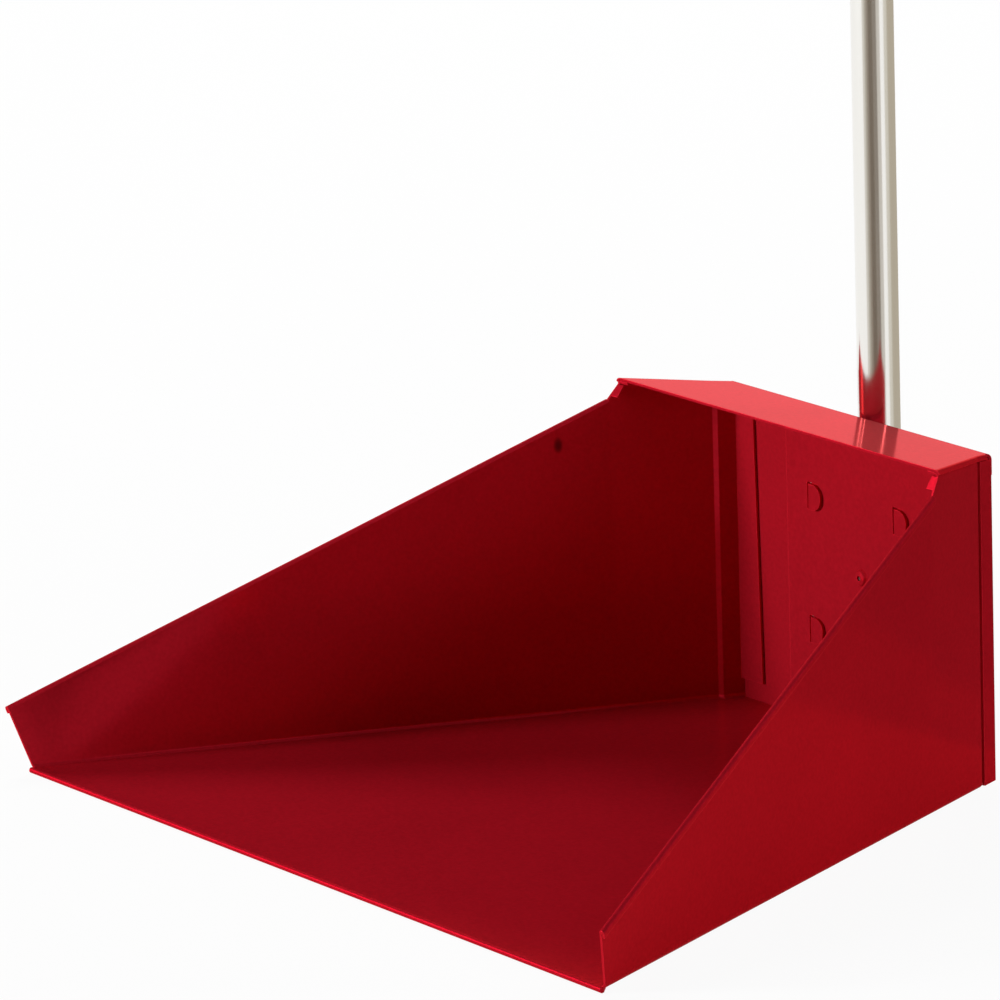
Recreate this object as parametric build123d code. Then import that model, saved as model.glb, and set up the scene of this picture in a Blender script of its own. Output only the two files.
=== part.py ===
from build123d import *

import os
from math import atan2, cos, hypot, pi, radians, sin, sqrt, tan

# Upright dustpan of painted sheet steel on a chromed tube handle.
# The pan is drawn with its back at y = 0, its mouth towards -Y and the ground at z = 0.
# All pieces are moved together at the end, so that the origin is under the middle of the whole part.

# Sheet metal
sheet = 1.0
hem_gap = 0.5
floor_hem_gap = 0.2
lap_gap = 0.15
bend_radius = 1.6
top_bend_radius = 0.4

# Tray: floor, side walls and their hems
mouth_width = 356.0
back_width = 151.0
floor_depth = 258.0
front_wall_height = 24.1
front_wall_reach = 6.3
front_wall_flare = 6.8
kink_ahead = 4.0
kink_drop = 8.2
kink_flange_foot = 4.2
kink_flange_head = 3.0
kink_flange_lift = 1.4
wall_bulge = 3.8
slant_hem_flap = 1.6
floor_hem_flap = 8.0
floor_hem_inset = 1.0
floor_hem_corner_radius = 1.5
corner_flange_foot = 12.8
corner_flange_head = 10.0
corner_flange_lift = 7.5
flange_corner_radius = 1.0
lip_tab_width = 6.0
joggle_length = 1.2
seam_width = 0.8

# Back panel with its lip
back_height = 126.0
lip_depth = 41.5
lip_rise = 4.7
lip_edge_turn = 65.0
lip_corner = 3.0
lip_corner_relief = 0.6
side_flange_length = 8.6
side_flange_lift = 1.8
flange_top_gap = 1.1
bottom_flange_length = 10.0
bottom_bend_radius = 0.3
corner_notch = 4.0

# Stiffening plate inside the back panel
plate_sheet = 0.8
plate_width = 88.0
plate_edge_gap = 2.5

# Handle tube and its bracket
tube_diameter = 16.0
tube_wall = 1.0
tube_bottom = 18.0
tube_top = 782.0
tube_seat_gap = 0.15
bracket_sheet = 1.2
bracket_width = 86.0
bracket_height = 74.0
bracket_height_above_ground = 64.0
bracket_bend_radius = 2.0
bracket_corner_radius = 4.0
tab_pitch_across = 51.0
tab_pitch_up = 52.0
tab_length = 7.6
tab_height = 10.0
tab_tip_flat = 0.8
tab_shoulder_radius = 1.0
tab_play = 0.1
slot_width = 3.0
slot_play = 0.3
tab_window = 10.0

# Blind rivet
rivet_diameter = 3.2
rivet_head_diameter = 6.6
rivet_head_height = 1.3
rivet_head_shoulder = 0.9
rivet_bulb_diameter = 5.2
rivet_bulb_length = 3.4
rivet_hole_play = 0.1
mandrel_diameter = 1.8
mandrel_play = 0.03
mandrel_ball_diameter = 3.0

# Plug in the lower end of the tube
plug_rim = 2.4
plug_depth = 14.0
plug_play = 0.05

# Hand grip on the upper end of the tube
grip_length = 112.0
grip_wall = 3.2
grip_overlap = 100.0
grip_crown_chamfer = 4.0
grip_rim_chamfer = 1.6
grip_groove_depth = 0.9
grip_groove_width = 3.2
grip_groove_pitch = 14.0
grip_groove_count = 5
grip_play = 0.05
eye_width = 18.0
eye_thickness = 7.0
eye_height = 22.0
eye_hole_diameter = 8.0

# Derived places
floor_underside = sheet + floor_hem_gap
floor_top = floor_underside + sheet
splay = (mouth_width - back_width) / 2 / floor_depth
splay_angle = atan2(splay, 1)
lip_slope = lip_rise / lip_depth
lip_angle = atan2(lip_rise, lip_depth)
lip_fall = sheet / cos(lip_angle)
outer_bend = bend_radius + sheet
outer_top_bend = top_bend_radius + sheet
kink_setback = lip_depth + kink_ahead
kink_height = back_height + lip_rise - kink_drop
kink_slope = wall_bulge / (kink_height - floor_underside)
front_slope = front_wall_flare / hypot(front_wall_height, front_wall_reach)
joggle_inset = (sheet + lap_gap) / cos(splay_angle)
joggle_end = -side_flange_length * cos(splay_angle) - seam_width
joggle_start = joggle_end - joggle_length
straight_length = -joggle_start
tube_radius = tube_diameter / 2
tube_axis = tube_radius + tube_seat_gap
panel_inside = -sheet
plate_inside = panel_inside - plate_sheet
tray_back = panel_inside - lap_gap


def half_width(y):
    """Half of the tray's outer width at the floor, at a distance y from the back."""
    return back_width / 2 - splay * y


def lip_top(y):
    return back_height - lip_slope * y


def wall_directions(slope):
    """Upward and outward directions of a wall that leans out by slope, in its cross-section."""
    lean_angle = atan2(slope, 1)
    return Vector(sin(lean_angle), cos(lean_angle)), Vector(cos(lean_angle), -sin(lean_angle))


def cut_edge(top, along, outward):
    """Plain edge of a wall, square to the sheet. Each edge runs from the outer to the inner face."""
    return [Line(top, top - outward * sheet)]


def rolled_hem(top, along, outward):
    """Edge rolled over to the outside, with a short flap."""
    small = hem_gap / 2
    large = small + sheet
    head = top - along * large
    roll = head + outward * small
    flap = roll - along * slant_hem_flap
    return [
        Line(head, roll + outward * small),
        Line(roll + outward * small, flap + outward * small),
        Line(flap + outward * small, flap + outward * large),
        Line(flap + outward * large, roll + outward * large),
        ThreePointArc(roll + outward * large, roll + along * large, head - outward * sheet),
    ]


def top_bend(top, along, outward):
    """Centre of the bend that rounds off the outer corner at a wall's top."""
    turn = pi / 2 + atan2(along.X, along.Y)
    return top - along * (outer_top_bend * tan(turn / 2)) - outward * outer_top_bend


def turned_in_flange(top, along, outward):
    """Edge bent inwards to lie under the lip."""
    up = Vector(0, 1)
    centre = top_bend(top, along, outward)
    middle = (outward + up).normalized()
    end = Vector(top.X - lip_tab_width, top.Y)
    return [
        ThreePointArc(*[centre + direction * outer_top_bend for direction in (outward, middle, up)]),
        Line(centre + up * outer_top_bend, end),
        Line(end, end - up * sheet),
        Line(end - up * sheet, centre + up * top_bend_radius),
        ThreePointArc(*[centre + direction * top_bend_radius for direction in (up, middle, outward)]),
    ]


def tray_section(y, wall_height, slope, edge, reach=0, inset=0):
    """Right half of the folded tray's cross-section: floor, bend, wall and the wall's upper edge.

    The section leans forward by reach over wall_height, and the wall leans out by slope.
    """
    down = Vector(0, -1)
    along, outward = wall_directions(slope)
    corner = Vector(half_width(y) - inset, 0)
    bend_centre = corner + Vector(-outer_bend * tan((pi / 2 - atan2(slope, 1)) / 2), outer_bend)
    middle = (outward + down).normalized()
    rim = edge(corner + Vector(slope, 1) * hypot(wall_height, reach), along, outward)

    def bend(radius):
        return [bend_centre + direction * radius for direction in (down, middle, outward)]

    outer = bend(outer_bend)
    inner = bend(bend_radius)
    half = make_face([
        Line((0, 0), outer[0]),
        ThreePointArc(*outer),
        Line(outer[-1], rim[0] @ 0),
        *rim,
        Line(rim[-1] @ 1, inner[-1]),
        ThreePointArc(*reversed(inner)),
        Line(inner[0], (0, sheet)),
        Line((0, sheet), (0, 0)),
    ])
    facing = Vector(1, 0, 0).cross(Vector(0, -reach, wall_height))
    return Plane(origin=(0, y, floor_underside), x_dir=(1, 0, 0), z_dir=facing) * half


def tray_wall_top(y):
    """Height of the side wall above the floor's underside where it runs under the lip."""
    return lip_top(y) - lip_fall - lap_gap - floor_underside


def wall_slope(y):
    """How much the side wall leans out behind the kink: not at all near the back."""
    return kink_slope * max(0, -y - straight_length) / (kink_setback - straight_length)


def right_half_of_tray():
    front = tray_section(-floor_depth, front_wall_height, front_slope, rolled_hem, front_wall_reach)
    kink_wall = kink_height - floor_underside
    kink = tray_section(-kink_setback, kink_wall, kink_slope, rolled_hem)
    slanted = loft([front, kink], ruled=True)

    kink_cut = tray_section(-kink_setback, kink_wall, kink_slope, cut_edge)
    lip_front_wall = tray_wall_top(-lip_depth) - outer_top_bend
    lip_front = tray_section(-lip_depth, lip_front_wall, wall_slope(-lip_depth), cut_edge)
    steep = loft([kink_cut, lip_front], ruled=True)

    stations = [
        (-lip_depth, 0),
        (joggle_start, 0),
        (joggle_end, joggle_inset),
        (tray_back - corner_notch, joggle_inset),
    ]
    under_lip = loft([
        tray_section(y, tray_wall_top(y), wall_slope(y), turned_in_flange, inset=inset)
        for y, inset in stations
    ], ruled=True)

    notched_wall = tray_wall_top(tray_back) - 2 * corner_notch
    back_corner = loft([
        tray_section(y, notched_wall, 0, cut_edge, inset=joggle_inset)
        for y in (tray_back - corner_notch, tray_back)
    ], ruled=True)
    return slanted + steep + under_lip + back_corner


def kink_flange():
    """Strip of the right wall turned inwards along its short steep edge below the lip."""
    inside = Vector(-1, 0, 0)

    def wall_point(y, height):
        return Vector(half_width(y) + wall_slope(y) * (height - floor_underside) - sheet / 2, y, height)

    foot = wall_point(-kink_setback, kink_height)
    head = wall_point(-lip_depth, tray_wall_top(-lip_depth) - outer_top_bend + floor_underside)
    foot += (head - foot) * (kink_flange_lift / (head.Z - foot.Z))
    strip = make_face(Polyline(
        foot, head, head + inside * kink_flange_head, foot + inside * kink_flange_foot, close=True,
    ))
    backward = Vector(0, head.Z - foot.Z, foot.Y - head.Y)
    return extrude(strip, sheet, dir=backward)


def corner_flange():
    """Strip of the right wall turned inwards against the back panel, a little wider at its foot."""
    foot = floor_top + corner_flange_lift
    height = back_height - lip_fall - 2 * corner_notch - foot
    wall_inside = half_width(tray_back) - joggle_inset - sheet
    root = sheet / 2
    strip = make_face(Polyline(
        (root, 0), (root, height), (-corner_flange_head, height), (-corner_flange_foot, 0), close=True,
    ))
    strip = fillet(strip.vertices().sort_by(Axis.X)[:2], flange_corner_radius)
    plane = Plane(origin=(wall_inside, tray_back, foot), x_dir=(1, 0, 0), z_dir=(0, -1, 0))
    return extrude(plane * strip, sheet)


def floor_hem():
    """Front edge of the floor, folded back under itself ahead of the walls, with mitred ends."""
    small = floor_hem_gap / 2
    large = small + sheet
    middle = sheet + small
    root = 2 * sheet
    nose = -sheet
    outline = make_face([
        Polyline((nose, floor_top), (root, floor_top), (root, floor_underside), (nose, floor_underside)),
        ThreePointArc((nose, floor_underside), (nose - small, middle), (nose, sheet)),
        Polyline((nose, sheet), (floor_hem_flap, sheet), (floor_hem_flap, 0), (nose, 0)),
        ThreePointArc((nose, 0), (nose - large, middle), (nose, floor_top)),
    ])
    plane = Plane(origin=(0, -floor_depth, 0), x_dir=(0, 1, 0), z_dir=(1, 0, 0))
    strip = extrude(plane * outline, mouth_width, both=True)
    ends = [(half_width(y) - floor_hem_inset, y) for y in (-floor_depth - root - large, -floor_depth)]
    mitre = 2 * floor_hem_flap
    ends.append((ends[-1][0] - mitre, ends[-1][1] + mitre))
    plan = make_face(Polyline(*ends, *[(-x, y) for x, y in reversed(ends)], close=True))
    plan = fillet(plan.vertices().group_by(Axis.Y)[0], floor_hem_corner_radius)
    return strip & extrude(plan, 2 * floor_top)


def make_pan_body():
    half = right_half_of_tray() + kink_flange() + corner_flange()
    return half + mirror(half, Plane.YZ) + floor_hem()


def tab_places():
    """Fold lines of the bracket's tabs: x of the fold and height of the tab's middle."""
    shift = tab_length / 2 - bracket_sheet / 2
    return [
        (side * tab_pitch_across / 2 - shift, bracket_height_above_ground + level * tab_pitch_up / 2)
        for side in (-1, 1)
        for level in (-1, 1)
    ]


def fixing_holes():
    """Cutters for the four tab slots and the rivet hole, through every sheet of the back."""
    reach = 4 * (sheet + plate_sheet)
    cutters = Part()
    for fold, height in tab_places():
        slot = Box(
            slot_width, reach, tab_height + 2 * slot_play, align=(Align.MAX, Align.CENTER, Align.CENTER)
        )
        cutters += Pos(fold, 0, height) * slot
    hole = Cylinder(rivet_diameter / 2 + rivet_hole_play, 2 * reach)
    return cutters + Pos(0, 0, bracket_height_above_ground) * Rot(X=90) * hole


def side_flange_plan():
    """Plan of the right side flange ahead of the back sheet, flush with the wall in front of its joggle."""
    forward = Vector(sin(splay_angle), -cos(splay_angle))
    thickness = Vector(cos(splay_angle), sin(splay_angle)) * sheet
    root = Vector(back_width / 2, 0)
    end = root + forward * side_flange_length

    def at_panel(point):
        return point + forward * ((point.Y - panel_inside) / cos(splay_angle))

    return [at_panel(root), end, end - thickness, at_panel(root - thickness)]


def back_wall():
    """Back sheet with its two side flanges, folded forward onto the joggles of the tray's walls."""
    flange = side_flange_plan()
    right = [Vector(back_width / 2, 0), *flange[1:]]
    left = [Vector(-point.X, point.Y) for point in reversed(right)]
    outline = make_face(Polyline(*right, *left, close=True))
    outline = fillet(outline.vertices().group_by(Axis.Y)[-1], sheet)
    wall = extrude(outline, back_height - outer_bend)
    side = extrude(make_face(Polyline(*flange, close=True)), back_height + lip_rise)
    under_lip = Plane(origin=(0, 0, back_height - lip_fall - flange_top_gap), z_dir=(0, lip_slope, 1))
    side = split(side, bisect_by=under_lip, keep=Keep.BOTTOM)
    raised = Plane.XY.offset(side_flange_lift)
    return split(wall + side + mirror(side, Plane.YZ), bisect_by=raised, keep=Keep.TOP)


def lip_side(y):
    """Section of the lip's right edge, curved down round the bend at the top of the side wall."""
    slope = wall_slope(y)
    top = Vector(half_width(y), 0) + Vector(slope, 1) * tray_wall_top(y)
    centre = top_bend(top, *wall_directions(slope))
    inner = outer_top_bend + lap_gap
    outer = inner + lip_fall
    turns = [radians(lip_edge_turn) * part for part in (0, 1 / 2, 1)]
    directions = [Vector(sin(turn), cos(turn)) for turn in turns]
    section = make_face([
        ThreePointArc(*[centre + direction * outer for direction in directions]),
        Line(centre + directions[-1] * outer, centre + directions[-1] * inner),
        ThreePointArc(*[centre + direction * inner for direction in reversed(directions)]),
        Line(centre + directions[0] * inner, centre + directions[0] * outer),
    ])
    plane = Plane(origin=(0, y, floor_underside), x_dir=(1, 0, 0), z_dir=(0, -1, 0))
    return centre.X, plane * section


def lip():
    """Upper edge of the back sheet, bent forward over the pan and down along its sides."""
    front = -lip_depth
    foot = back_height - 2 * corner_notch
    front_top = lip_top(front)
    outside = FilletPolyline((0, foot), (0, back_height), (front, front_top), radius=outer_bend)
    inner_corner = (panel_inside, lip_top(panel_inside) - lip_fall)
    inside = FilletPolyline(
        (panel_inside, foot), inner_corner, (front, front_top - lip_fall), radius=bend_radius
    )
    ends = [Line(outside @ end, inside @ end) for end in (0, 1)]
    profile = make_face([outside, inside, *ends])
    strip = extrude(Plane.YZ * profile, mouth_width / 2, both=True)
    stations = (front, -straight_length, -lip_corner - lip_corner_relief)
    right_ends, sections = zip(*[lip_side(y) for y in stations])
    right = [*zip(right_ends, stations), (right_ends[-1], -lip_corner), (back_width / 2, -lip_corner),
             (back_width / 2, 0)]
    left = [(-x, y) for x, y in reversed(right)]
    plan = make_face(Polyline(*right, *left, close=True))
    side = loft(sections, ruled=True)
    return (strip & extrude(plan, 2 * back_height)) + side + mirror(side, Plane.YZ)


def bottom_flange():
    """Lower edge of the back sheet, bent forward under the tray's floor between two corner notches."""
    front = -bottom_flange_length
    head = side_flange_lift
    outside = FilletPolyline((0, head), (0, 0), (front, 0), radius=bottom_bend_radius + sheet)
    inside = FilletPolyline((panel_inside, head), (panel_inside, sheet), (front, sheet),
                            radius=bottom_bend_radius)
    ends = [Line(outside @ end, inside @ end) for end in (0, 1)]
    profile = make_face([outside, inside, *ends])
    return extrude(Plane.YZ * profile, back_width / 2 - outer_bend, both=True)


def make_back_panel():
    return back_wall() + lip() + bottom_flange() - fixing_holes()


def make_back_plate():
    foot = floor_top + plate_edge_gap
    head = back_height - sheet - bend_radius - plate_edge_gap
    outline = Rectangle(plate_width, head - foot, align=(Align.CENTER, Align.MIN))
    outline = fillet(outline.vertices(), plate_edge_gap)
    plane = Plane(origin=(0, panel_inside, foot), x_dir=(1, 0, 0), z_dir=(0, -1, 0))
    return extrude(plane * outline, plate_sheet) - fixing_holes()


def bracket_tab(fold, height):
    """Tab that comes forward through its slot and is bent over onto the plate."""
    left = fold - tab_play - bracket_sheet
    landing = plate_inside - tab_play
    profile = make_face(Polyline(
        (left, bracket_sheet),
        (left, landing - bracket_sheet),
        (left + tab_length, landing - bracket_sheet),
        (left + tab_length, landing),
        (left + bracket_sheet, landing),
        (left + bracket_sheet, bracket_sheet),
        close=True,
    ))
    tab = extrude(Plane.XY.offset(height - tab_height / 2) * profile, tab_height)
    tip = tab.edges().filter_by(Axis.Y).group_by(Axis.X)[-1]
    tab = fillet(tip, (tab_height - tab_tip_flat) / 2)
    shoulder = tab.edges().filter_by(Axis.Z).group_by(Axis.Y)[0].sort_by(Axis.X)[0]
    return fillet(shoulder, tab_shoulder_radius)


def make_handle_bracket():
    """Sheet folded round the tube, with two wings against the back panel and four tabs."""
    channel = tube_radius + tube_seat_gap
    crown = channel + bracket_sheet
    wing = bracket_width / 2
    inner_arc = [(channel, tube_axis), (0, tube_axis + channel), (-channel, tube_axis)]
    outer_arc = [(-crown, tube_axis), (0, tube_axis + crown), (crown, tube_axis)]
    outline = make_face([
        Polyline((wing, bracket_sheet), (wing, 0), (channel, 0), inner_arc[0]),
        ThreePointArc(*inner_arc),
        Polyline(inner_arc[-1], (-channel, 0), (-wing, 0), (-wing, bracket_sheet), (-crown, bracket_sheet),
                 outer_arc[0]),
        ThreePointArc(*outer_arc),
        Polyline(outer_arc[-1], (crown, bracket_sheet), (wing, bracket_sheet)),
    ])
    feet = outline.vertices().filter_by(lambda v: channel < abs(v.X) < wing and v.Y < tube_axis)
    outline = fillet(feet.group_by(Axis.Y)[-1], bracket_bend_radius)
    foot = bracket_height_above_ground - bracket_height / 2
    bracket = extrude(Plane.XY.offset(foot) * outline, bracket_height)
    wing_corners = bracket.edges().filter_by(Axis.Y).group_by(Axis.X)
    bracket = fillet(wing_corners[0] + wing_corners[-1], bracket_corner_radius)
    for fold, height in tab_places():
        window = Box(tab_window, 2 * bracket_sheet, tab_height + 2 * slot_play,
                     align=(Align.MAX, Align.CENTER, Align.CENTER))
        bracket -= Pos(fold - tab_play - bracket_sheet, bracket_sheet / 2, height) * window
        bracket += bracket_tab(fold, height)
    return bracket


def make_handle_tube():
    length = tube_top - tube_bottom
    upwards = (Align.CENTER, Align.CENTER, Align.MIN)
    shell = Cylinder(tube_radius, length, align=upwards)
    bore = Cylinder(tube_radius - tube_wall, length, align=upwards)
    hole = Cylinder(rivet_diameter / 2 + rivet_hole_play, tube_radius, align=upwards)
    hole = Pos(0, 0, bracket_height_above_ground - tube_bottom) * Rot(X=90) * hole
    return Pos(0, tube_axis, tube_bottom) * (shell - bore - hole)


def make_tube_plug():
    shank = tube_radius - tube_wall - plug_play
    chamfer = plug_rim / 2
    profile = make_face(Polyline(
        (0, -plug_rim),
        (tube_radius - chamfer, -plug_rim),
        (tube_radius, -chamfer),
        (tube_radius, 0),
        (shank, 0),
        (shank, plug_depth - chamfer),
        (shank - chamfer, plug_depth),
        (0, plug_depth),
        close=True,
    ))
    return Pos(0, tube_axis, tube_bottom) * revolve(Plane.XZ * profile, Axis.Z)


def make_hand_grip():
    """Moulded grip pushed over the tube, with ring grooves and a flat hanging eye."""
    bore = tube_radius + grip_play
    body = bore + grip_wall
    foot = tube_top - grip_overlap
    head = foot + grip_length
    first = foot + (grip_overlap - (grip_groove_count - 1) * grip_groove_pitch) / 2
    outside = [(body, foot)]
    for number in range(grip_groove_count):
        level = first + number * grip_groove_pitch
        half = grip_groove_width / 2
        outside += [(body, level - half), (body - grip_groove_depth, level), (body, level + half)]
    outside.append((body, head))
    profile = make_face(Polyline(
        (bore, foot), *outside, (0, head), (0, tube_top), (bore, tube_top), close=True,
    ))
    crown = profile.vertices().group_by(Axis.Y)[-1].sort_by(Axis.X)[-1]
    profile = chamfer(crown, grip_crown_chamfer)
    rim = profile.vertices().group_by(Axis.Y)[0].sort_by(Axis.X)[-1]
    profile = chamfer(rim, grip_rim_chamfer)
    grip = revolve(Plane.XZ * profile, Axis.Z)
    tongue = SlotOverall(eye_height + eye_width, eye_width, rotation=90)
    tongue = extrude(Plane.XZ * (Pos(0, head) * tongue), eye_thickness / 2, both=True)
    below = Box(2 * eye_width, 2 * eye_width, 2 * eye_height, align=(Align.CENTER, Align.CENTER, Align.MAX))
    tongue -= Pos(0, 0, head - grip_wall) * below
    eye = Pos(0, 0, head + eye_height / 2) * Rot(X=90) * Cylinder(eye_hole_diameter / 2, 2 * eye_thickness)
    return Pos(0, tube_axis, 0) * (grip + tongue - eye)


def rivet_place(shape):
    """A turned shape drawn along +X from the plate's inner face, set on the rivet's axis."""
    axis = Plane(origin=(0, plate_inside, bracket_height_above_ground), x_dir=(0, 1, 0), z_dir=(1, 0, 0))
    return axis * shape


def rivet_grip():
    """Length of the rivet from under its head to where its bulb bears on the round inside of the tube."""
    bore = tube_radius - tube_wall
    bulb = rivet_bulb_diameter / 2
    return tube_axis - sqrt(bore ** 2 - bulb ** 2) + rivet_hole_play - plate_inside


def make_rivet_body():
    shank = rivet_diameter / 2
    head = rivet_head_diameter / 2
    bore = mandrel_diameter / 2 + mandrel_play
    grip_end = rivet_grip()
    bulb = rivet_bulb_diameter / 2
    tail = grip_end + rivet_bulb_length
    profile = make_face([
        Line((-rivet_head_height, bore), (tail, bore)),
        Line((tail, bore), (tail, shank)),
        Polyline((tail, shank), (grip_end + rivet_bulb_length / 2, bulb), (grip_end, shank)),
        Polyline((grip_end, shank), (0, shank), (0, head)),
        Polyline((0, head), (-rivet_head_shoulder, (2 * head + bore) / 3), (-rivet_head_height, bore)),
    ])
    return rivet_place(revolve(profile, Axis.X))


def make_rivet_mandrel():
    stem = mandrel_diameter / 2
    ball = mandrel_ball_diameter / 2
    tail = rivet_grip() + rivet_bulb_length
    broken_end = -rivet_head_height / 2
    upwards = (Align.CENTER, Align.CENTER, Align.MIN)
    pin = Rot(Y=90) * Cylinder(stem, tail + ball - broken_end, align=upwards)
    head = Rot(Y=90) * Cylinder(ball, ball, align=upwards)
    return rivet_place(Pos(broken_end, 0, 0) * pin + Pos(tail, 0, 0) * head)


pieces = {
    "pan_body": make_pan_body(),
    "back_panel": make_back_panel(),
    "back_plate": make_back_plate(),
    "handle_bracket": make_handle_bracket(),
    "handle_tube": make_handle_tube(),
    "tube_plug": make_tube_plug(),
    "hand_grip": make_hand_grip(),
    "rivet_body": make_rivet_body(),
    "rivet_mandrel": make_rivet_mandrel(),
}

# The origin goes under the middle of the whole part
whole = Compound(children=[Part() + piece for piece in pieces.values()]).bounding_box()
to_origin = Pos(-(whole.min.X + whole.max.X) / 2, -(whole.min.Y + whole.max.Y) / 2, -whole.min.Z)

os.makedirs("parts", exist_ok=True)
for name, piece in pieces.items():
    export_step(to_origin * piece, f"parts/{name}.step")
print("moved by", to_origin.position)
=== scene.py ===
import math

import bmesh
import bpy
from mathutils import Matrix, Vector


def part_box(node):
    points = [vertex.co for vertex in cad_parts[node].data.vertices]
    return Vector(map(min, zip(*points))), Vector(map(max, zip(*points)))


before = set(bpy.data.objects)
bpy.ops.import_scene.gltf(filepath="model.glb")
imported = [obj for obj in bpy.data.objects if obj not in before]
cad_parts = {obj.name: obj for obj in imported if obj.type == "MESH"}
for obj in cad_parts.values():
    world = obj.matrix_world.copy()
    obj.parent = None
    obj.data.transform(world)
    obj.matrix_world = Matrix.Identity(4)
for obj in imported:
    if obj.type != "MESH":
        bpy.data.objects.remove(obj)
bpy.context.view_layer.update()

# Pan body: floor and side walls folded from one steel sheet, with rolled hems on the slanted edges.
# Its gloss red powder coat has a faint orange peel and a painted highlight of brighter red along
# sharp edges, and a darker red spot in one place inside the left wall.
PAINT_RED = (0.57, 0.0105, 0.0245, 1)
PAINT_DEEP_RED = (0.33, 0.0065, 0.0145, 1)
PAINT_GRAIN = 0.7
PAINT_METALLIC = 0.3
PAINT_IOR = 1.025
PAINT_TINT = (1.0, 0.03, 0.12, 1)
PAINT_ROUGHNESS = 0.09
PAINT_ROUGHNESS_SPREAD = 0.05
PAINT_CLOUDS_PER_METRE = 14
PAINT_PEEL_PER_METRE = 700
PAINT_PEEL_DEPTH = 0.000012
PAINT_EDGE_RADIUS = 0.0004
PAINT_EDGE_BAND = 0.0008
# Painted highlight: the brighter red laid along square edges in place of light catching them.
PAINT_EDGE_HIGHLIGHT_RED = (0.85, 0.02, 0.04, 1)
PAINT_EDGE_STARTS = 0.92
PAINT_EDGE_FULL = 0.75
BEVEL_SAMPLES = 6
# A darker red spot painted in one place inside the left wall.
DARK_SPOT_CENTRE = (-0.1008, 0.0570, 0.1068)
DARK_SPOT_REACH = (0.0038, 0.0038, 0.0064)
DARK_SPOT_RIM = 1.0
DARK_SPOT_CORE = 0.79
DARK_SPOT_RED = (0.12, 0.003, 0.006, 1)


class Wire:
    """One socket of a node tree. Arithmetic on it adds Math nodes."""

    def __init__(self, tree, socket=None):
        self.tree = tree
        self.socket = socket

    def node(self, kind, settings, sockets, output=0):
        made = self.tree.nodes.new(kind)
        for name, value in settings.items():
            setattr(made, name, value)
        for name, value in sockets.items():
            if isinstance(value, Wire):
                self.tree.links.new(value.socket, made.inputs[name])
            else:
                made.inputs[name].default_value = value
        return Wire(self.tree, made.outputs[output])

    def math(self, operation, first, second):
        return self.node("ShaderNodeMath", {"operation": operation}, {0: first, 1: second})

    def __add__(self, other):
        return self.math("ADD", self, other)

    def __mul__(self, other):
        return self.math("MULTIPLY", self, other)

    __radd__ = __add__
    __rmul__ = __mul__


def new_material(name):
    """An empty node material, its tree as a Wire, and its output node."""
    material = bpy.data.materials.new(name)
    material.use_nodes = True
    material.node_tree.nodes.clear()
    output = material.node_tree.nodes.new("ShaderNodeOutputMaterial")
    return material, Wire(material.node_tree), output


def finish_material(tree, output, shader):
    tree.tree.links.new(shader.socket, output.inputs["Surface"])


def object_place(tree):
    return tree.node("ShaderNodeTexCoord", {}, {}, "Object")


def noise(tree, per_metre, detail):
    return tree.node("ShaderNodeTexNoise", {}, {
        "Vector": object_place(tree), "Scale": per_metre, "Detail": detail})


MIX_FACTOR, MIX_FIRST, MIX_SECOND, MIX_RESULT = 0, 6, 7, 2


def mix_colours(tree, factor, first, second):
    return tree.node("ShaderNodeMix", {"data_type": "RGBA"}, {
        MIX_FACTOR: factor, MIX_FIRST: first, MIX_SECOND: second}, MIX_RESULT)


def vector_math(tree, operation, sockets, output=0):
    return tree.node("ShaderNodeVectorMath", {"operation": operation}, sockets, output)


def bevel(tree, radius):
    return tree.node("ShaderNodeBevel", {"samples": BEVEL_SAMPLES}, {"Radius": radius})


def bump(tree, height, depth, **more):
    return tree.node("ShaderNodeBump", {}, {
        "Strength": 1.0, "Distance": depth, "Height": height, **more})


def edge_highlight_mask(tree):
    """1 along square edges, where a highlight is painted in brighter red, and 0 on faces and round
    bends.
    """
    facing = tree.node("ShaderNodeNewGeometry", {}, {}, "Normal")
    rounded = bevel(tree, PAINT_EDGE_BAND)
    agreement = vector_math(tree, "DOT_PRODUCT", {0: rounded, 1: facing}, "Value")
    return tree.node("ShaderNodeMapRange", {}, {
        "Value": agreement, "From Min": PAINT_EDGE_STARTS, "From Max": PAINT_EDGE_FULL})


def dark_spot(tree):
    """1 in the middle of the darker spot, falling to 0 all round it."""
    offset = vector_math(tree, "SUBTRACT", {0: object_place(tree), 1: DARK_SPOT_CENTRE})
    scaled = vector_math(tree, "DIVIDE", {0: offset, 1: DARK_SPOT_REACH})
    distance = vector_math(tree, "LENGTH", {0: scaled}, "Value")
    return tree.node("ShaderNodeMapRange", {"interpolation_type": "SMOOTHSTEP"}, {
        "Value": distance, "From Min": DARK_SPOT_RIM, "From Max": DARK_SPOT_CORE})


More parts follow.
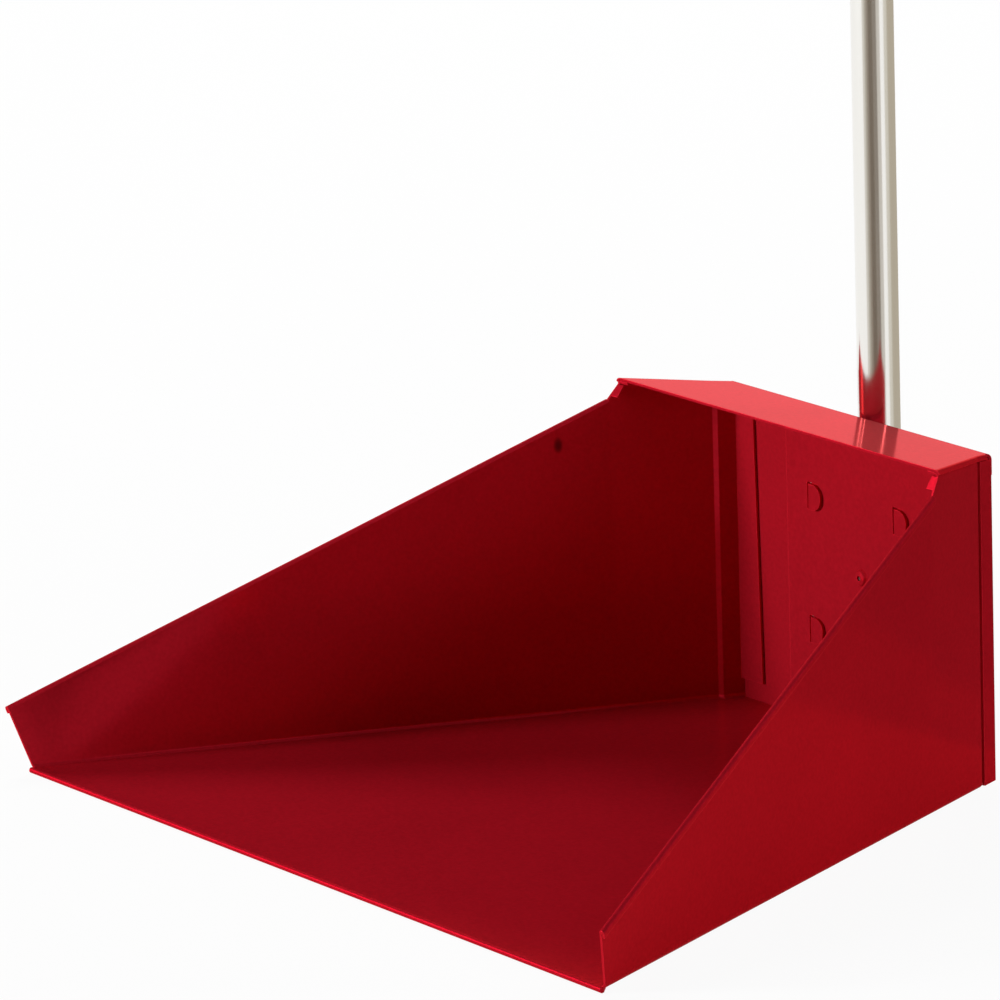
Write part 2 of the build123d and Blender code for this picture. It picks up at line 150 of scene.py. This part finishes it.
def red_paint(name, with_dark_spot=False):
    material, tree, output = new_material(name)
    clouds = noise(tree, PAINT_CLOUDS_PER_METRE, detail=2)
    peel = noise(tree, PAINT_PEEL_PER_METRE, detail=1)
    shade = PAINT_GRAIN * peel + (1 - PAINT_GRAIN) * clouds
    body_red = mix_colours(tree, shade, PAINT_DEEP_RED, PAINT_RED)
    # A darker red spot is painted in one place when asked for.
    if with_dark_spot:
        body_red = mix_colours(tree, dark_spot(tree), body_red, DARK_SPOT_RED)
    # The base colour carries a painted highlight of brighter red along square edges.
    shader = tree.node("ShaderNodeBsdfPrincipled", {}, {
        "Base Color": mix_colours(tree, edge_highlight_mask(tree), body_red, PAINT_EDGE_HIGHLIGHT_RED),
        "Metallic": PAINT_METALLIC,
        "IOR": PAINT_IOR,
        "Specular Tint": PAINT_TINT,
        "Roughness": PAINT_ROUGHNESS + PAINT_ROUGHNESS_SPREAD * clouds,
        "Normal": bump(tree, peel, PAINT_PEEL_DEPTH, Normal=bevel(tree, PAINT_EDGE_RADIUS))})
    finish_material(tree, output, shader)
    return material


def dress(node, material):
    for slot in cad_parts[node].material_slots:
        slot.material = material


dress("pan_body", red_paint("pan_paint", with_dark_spot=True))

# Back panel: the back wall, the lip over the pan and the flanges that lap the side walls.
# It is bent from one steel sheet, spot-welded to the pan body and powder-coated with it.
dress("back_panel", red_paint("panel_paint"))

# Back plate: a flat stiffener of thinner steel sheet on the inside of the back wall.
# The bracket's tabs and the rivet pass through it and hold it, and it has the same red coat.
dress("back_plate", red_paint("plate_paint"))

# Handle bracket: the holder of the tube behind the back wall, folded from steel sheet.
# Its four tabs pass through the back and are bent over inside the pan. It is coated with the rest.
dress("handle_bracket", red_paint("bracket_paint"))

# Handle tube: a drawn steel tube, polished and chromed, pushed down into the bracket.
# The plating mirrors its surroundings with a slight haze and the ripple of the drawn steel.
CHROME = (0.88, 0.865, 0.825, 1)
CHROME_ROUGHNESS = 0.12
CHROME_HAZE = 0.05
CHROME_HAZE_PER_METRE = 30
CHROME_RIPPLE_PER_METRE = 60
CHROME_RIPPLE_DEPTH = 0.00003


def chrome(name):
    material, tree, output = new_material(name)
    haze = noise(tree, CHROME_HAZE_PER_METRE, detail=3)
    ripple = noise(tree, CHROME_RIPPLE_PER_METRE, detail=1)
    shader = tree.node("ShaderNodeBsdfPrincipled", {}, {
        "Base Color": CHROME,
        "Metallic": 1.0,
        "Roughness": CHROME_ROUGHNESS + CHROME_HAZE * haze,
        "Normal": bump(tree, ripple, CHROME_RIPPLE_DEPTH)})
    finish_material(tree, output, shader)
    return material


dress("handle_tube", chrome("tube_chrome"))

# Tube plug and hand grip: black plastic, moulded with the fine matt grain of an etched mould.
# The plug is pushed into the tube's lower end, and the grip over its top.
PLASTIC_BLACK = (0.022, 0.022, 0.023, 1)
PLASTIC_GREY = (0.034, 0.034, 0.035, 1)
PLASTIC_ROUGHNESS = 0.42
PLASTIC_ROUGHNESS_SPREAD = 0.12
PLASTIC_GRAIN_PER_METRE = 2600
PLASTIC_GRAIN_DEPTH = 0.00006
PLASTIC_CLOUDS_PER_METRE = 40


def grained_plastic(name):
    material, tree, output = new_material(name)
    grain = noise(tree, PLASTIC_GRAIN_PER_METRE, detail=2)
    clouds = noise(tree, PLASTIC_CLOUDS_PER_METRE, detail=3)
    shader = tree.node("ShaderNodeBsdfPrincipled", {}, {
        "Base Color": mix_colours(tree, clouds, PLASTIC_BLACK, PLASTIC_GREY),
        "Roughness": PLASTIC_ROUGHNESS + PLASTIC_ROUGHNESS_SPREAD * clouds,
        "Normal": bump(tree, grain, PLASTIC_GRAIN_DEPTH)})
    finish_material(tree, output, shader)
    return material


dress("tube_plug", grained_plastic("plug_plastic"))
dress("hand_grip", grained_plastic("grip_plastic"))

# Blind rivet: holds the bracket's middle to the back wall and the plate.
# Its steel body is painted with the pan, and the broken end of its stem is bare, marked steel.
STEEL = (0.42, 0.41, 0.39, 1)
STEEL_DARK = (0.24, 0.22, 0.20, 1)
STEEL_ROUGHNESS = 0.32
STEEL_ROUGHNESS_SPREAD = 0.2
STEEL_MARKS_PER_METRE = 900


def worn_steel(name):
    material, tree, output = new_material(name)
    marks = noise(tree, STEEL_MARKS_PER_METRE, detail=3)
    shader = tree.node("ShaderNodeBsdfPrincipled", {}, {
        "Base Color": mix_colours(tree, marks, STEEL_DARK, STEEL),
        "Metallic": 1.0,
        "Roughness": STEEL_ROUGHNESS + STEEL_ROUGHNESS_SPREAD * marks})
    finish_material(tree, output, shader)
    return material


dress("rivet_body", red_paint("rivet_paint"))
dress("rivet_mandrel", worn_steel("mandrel_steel"))

# Studio: a white floor that runs on behind the part, with white all round and a grey ceiling.
# Floor and sides look white to the camera and in reflections, and the floor keeps its shadow.
# The softboxes light the part, and the strips show only as streaks in its gloss.
WHITE = (1, 1, 1, 1)
FLOOR_SIZE = 12.0
FLOOR_WHITE = (0.92, 0.92, 0.92, 1)
FLOOR_GLOW = 0.94
WORLD_LIGHT = 0.03
CEILING_GREY = (0.45, 0.45, 0.45, 1)
CEILING_LOW = 0.3
CEILING_HIGH = 0.45

floor_mesh = bpy.data.meshes.new("floor")
grid = bmesh.new()
bmesh.ops.create_grid(grid, x_segments=1, y_segments=1, size=FLOOR_SIZE / 2)
grid.to_mesh(floor_mesh)
grid.free()
floor = bpy.data.objects.new("floor", floor_mesh)
bpy.context.scene.collection.objects.link(floor)


def seen_directly(tree):
    """1 for rays from the camera, mirrors and glass, and 0 for the light that falls on things."""
    seen = tree.node("ShaderNodeLightPath", {}, {}, "Is Camera Ray")
    for kind in ("Is Glossy Ray", "Is Transmission Ray"):
        seen = tree.math("MAXIMUM", seen, tree.node("ShaderNodeLightPath", {}, {}, kind))
    return seen


floor_material, tree, output = new_material("floor_white")
matt = tree.node("ShaderNodeBsdfDiffuse", {}, {"Color": FLOOR_WHITE})
glow = tree.node("ShaderNodeEmission", {}, {"Color": WHITE})
share = FLOOR_GLOW * seen_directly(tree)
finish_material(tree, output, tree.node("ShaderNodeMixShader", {}, {0: share, 1: matt, 2: glow}))
floor_mesh.materials.append(floor_material)

world = bpy.data.worlds.new("studio_white")
bpy.context.scene.world = world
world.use_nodes = True
world.node_tree.nodes.clear()
tree = Wire(world.node_tree)
towards = tree.node("ShaderNodeTexCoord", {}, {}, "Generated")
height = tree.node("ShaderNodeSeparateXYZ", {}, {"Vector": towards}, "Z")
ceiling = tree.node("ShaderNodeMapRange", {}, {
    "Value": height, "From Min": CEILING_LOW, "From Max": CEILING_HIGH})
background = tree.node("ShaderNodeBackground", {}, {
    "Color": mix_colours(tree, ceiling, WHITE, CEILING_GREY),
    "Strength": WORLD_LIGHT + (1 - WORLD_LIGHT) * seen_directly(tree)})
finish_material(tree, world.node_tree.nodes.new("ShaderNodeOutputWorld"), background)


def softbox(name, place, aim, size, power, diffuse=True, mirrored=True):
    """A rectangular lamp. It may leave matt surfaces dark, or be missing from reflections."""
    light = bpy.data.lights.new(name, "AREA")
    light.shape = "RECTANGLE"
    light.size, light.size_y = size
    light.energy = power
    lamp = bpy.data.objects.new(name, light)
    lamp.visible_diffuse = diffuse
    lamp.visible_glossy = mirrored
    lamp.location = place
    lamp.rotation_euler = (Vector(aim) - Vector(place)).to_track_quat("-Z", "Y").to_euler()
    bpy.context.scene.collection.objects.link(lamp)


softbox("overhead_softbox", (-1.2, 0.8, 1.8), (0, 0, 0.05), (0.8, 0.8), 21, mirrored=False)
softbox("front_softbox", (-1.25, -2.45, 0.75), (0, 0.1, 0.06), (0.5, 0.5), 77, mirrored=False)
softbox("side_softbox", (2.5, 0.2, 0.6), (0.1, 0, 0.05), (0.8, 0.5), 12, mirrored=False)
softbox("back_softbox", (0.9, 1.9, 1.8), (0, -0.05, 0.05), (0.8, 0.8), 13, mirrored=False)
softbox("rim_softbox", (-1.7, 1.4, 0.55), (0, 0, 0.12), (1.7, 0.9), 8.6)
softbox("front_strip", (-2.0, -1.45, 1.0), (0, 0, 0.1), (0.7, 1.6), 15, diffuse=False)
softbox("left_strip", (-1.23, -2.4, 0.45), (0, 0.1, 0.13), (0.4, 0.5), 4.5, diffuse=False)
softbox("right_strip", (2.5, 0.3, 0.45), (0, 0.1, 0.13), (0.35, 0.5), 4, diffuse=False)

# Grey cards: tinted card laid on the floor round the handle, as a photographer does for chrome.
# They light nothing, cast no shadow and aren't seen by the camera. Only reflections show them,
# as bands in the chrome and a softer sheen in the paint.
CARD_HEIGHT = 0.001
CARD_REACH = 4.0
CARD_STEPS = 12
CARD_AHEAD = 0.4
CARD_BEHIND = 0.03


def grey_card(name, colour, first_azimuth, last_azimuth, nearest):
    """A sector of a ring round the tube, with azimuths in degrees from -Y towards +X."""
    low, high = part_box("handle_tube")
    tube_axis = Vector(((low.x + high.x) / 2, (low.y + high.y) / 2, CARD_HEIGHT))
    start = Matrix.Rotation(math.radians(first_azimuth), 4, "Z") @ Vector((0, -1, 0))
    card = bmesh.new()
    ends = [card.verts.new(tube_axis + start * reach) for reach in (nearest, CARD_REACH)]
    edge = card.edges.new(ends)
    bmesh.ops.spin(card, geom=[*ends, edge], cent=tube_axis, axis=(0, 0, 1), steps=CARD_STEPS,
                   angle=math.radians(last_azimuth - first_azimuth))
    mesh = bpy.data.meshes.new(name)
    card.to_mesh(mesh)
    card.free()
    material, tree, output = new_material(name)
    finish_material(tree, output, tree.node("ShaderNodeEmission", {}, {"Color": colour}))
    mesh.materials.append(material)
    piece = bpy.data.objects.new(name, mesh)
    piece.visible_camera = False
    piece.visible_diffuse = False
    piece.visible_shadow = False
    bpy.context.scene.collection.objects.link(piece)


grey_card("light_card", (0.68, 0.65, 0.60, 1), -5, 7, CARD_AHEAD)
grey_card("middle_card", (0.45, 0.415, 0.36, 1), 7, 17, CARD_AHEAD)
grey_card("shade_card", (0.30, 0.255, 0.21, 1), 17, 28, CARD_AHEAD)
grey_card("dark_card", (0.185, 0.15, 0.118, 1), 28, 50, CARD_AHEAD)
grey_card("dusk_card", (0.265, 0.23, 0.195, 1), 50, 71, CARD_AHEAD)
grey_card("pale_card", (0.60, 0.57, 0.53, 1), 71, 90, CARD_AHEAD)
grey_card("sand_card", (0.66, 0.63, 0.56, 1), 112, 140, CARD_BEHIND)
grey_card("tan_card", (0.475, 0.425, 0.345, 1), 140, 222, CARD_BEHIND)

# Camera: a long lens from in front and to the right of the part, a little above it.
# It is rolled very slightly, and frames the pan with the lower part of the handle.
LENS = 306
SENSOR = 36
VIEW_YAW = 54.04
VIEW_PITCH = 14.66
VIEW_ROLL = -1.70
VIEW_DISTANCE = 3.0925
VIEW_AIM = Vector((-0.0207, -0.0299, 0.1170))

camera_data = bpy.data.cameras.new("camera")
camera_data.lens = LENS
camera_data.sensor_width = SENSOR
camera = bpy.data.objects.new("camera", camera_data)
turn = (
    Matrix.Rotation(math.radians(VIEW_YAW), 4, "Z")
    @ Matrix.Rotation(math.radians(90 - VIEW_PITCH), 4, "X")
    @ Matrix.Rotation(math.radians(VIEW_ROLL), 4, "Z")
)
step_back = Matrix.Translation((0, 0, VIEW_DISTANCE))
camera.matrix_world = Matrix.Translation(VIEW_AIM) @ turn @ step_back
bpy.context.scene.collection.objects.link(camera)
bpy.context.scene.camera = camera
bpy.context.scene.view_settings.view_transform = "Standard"
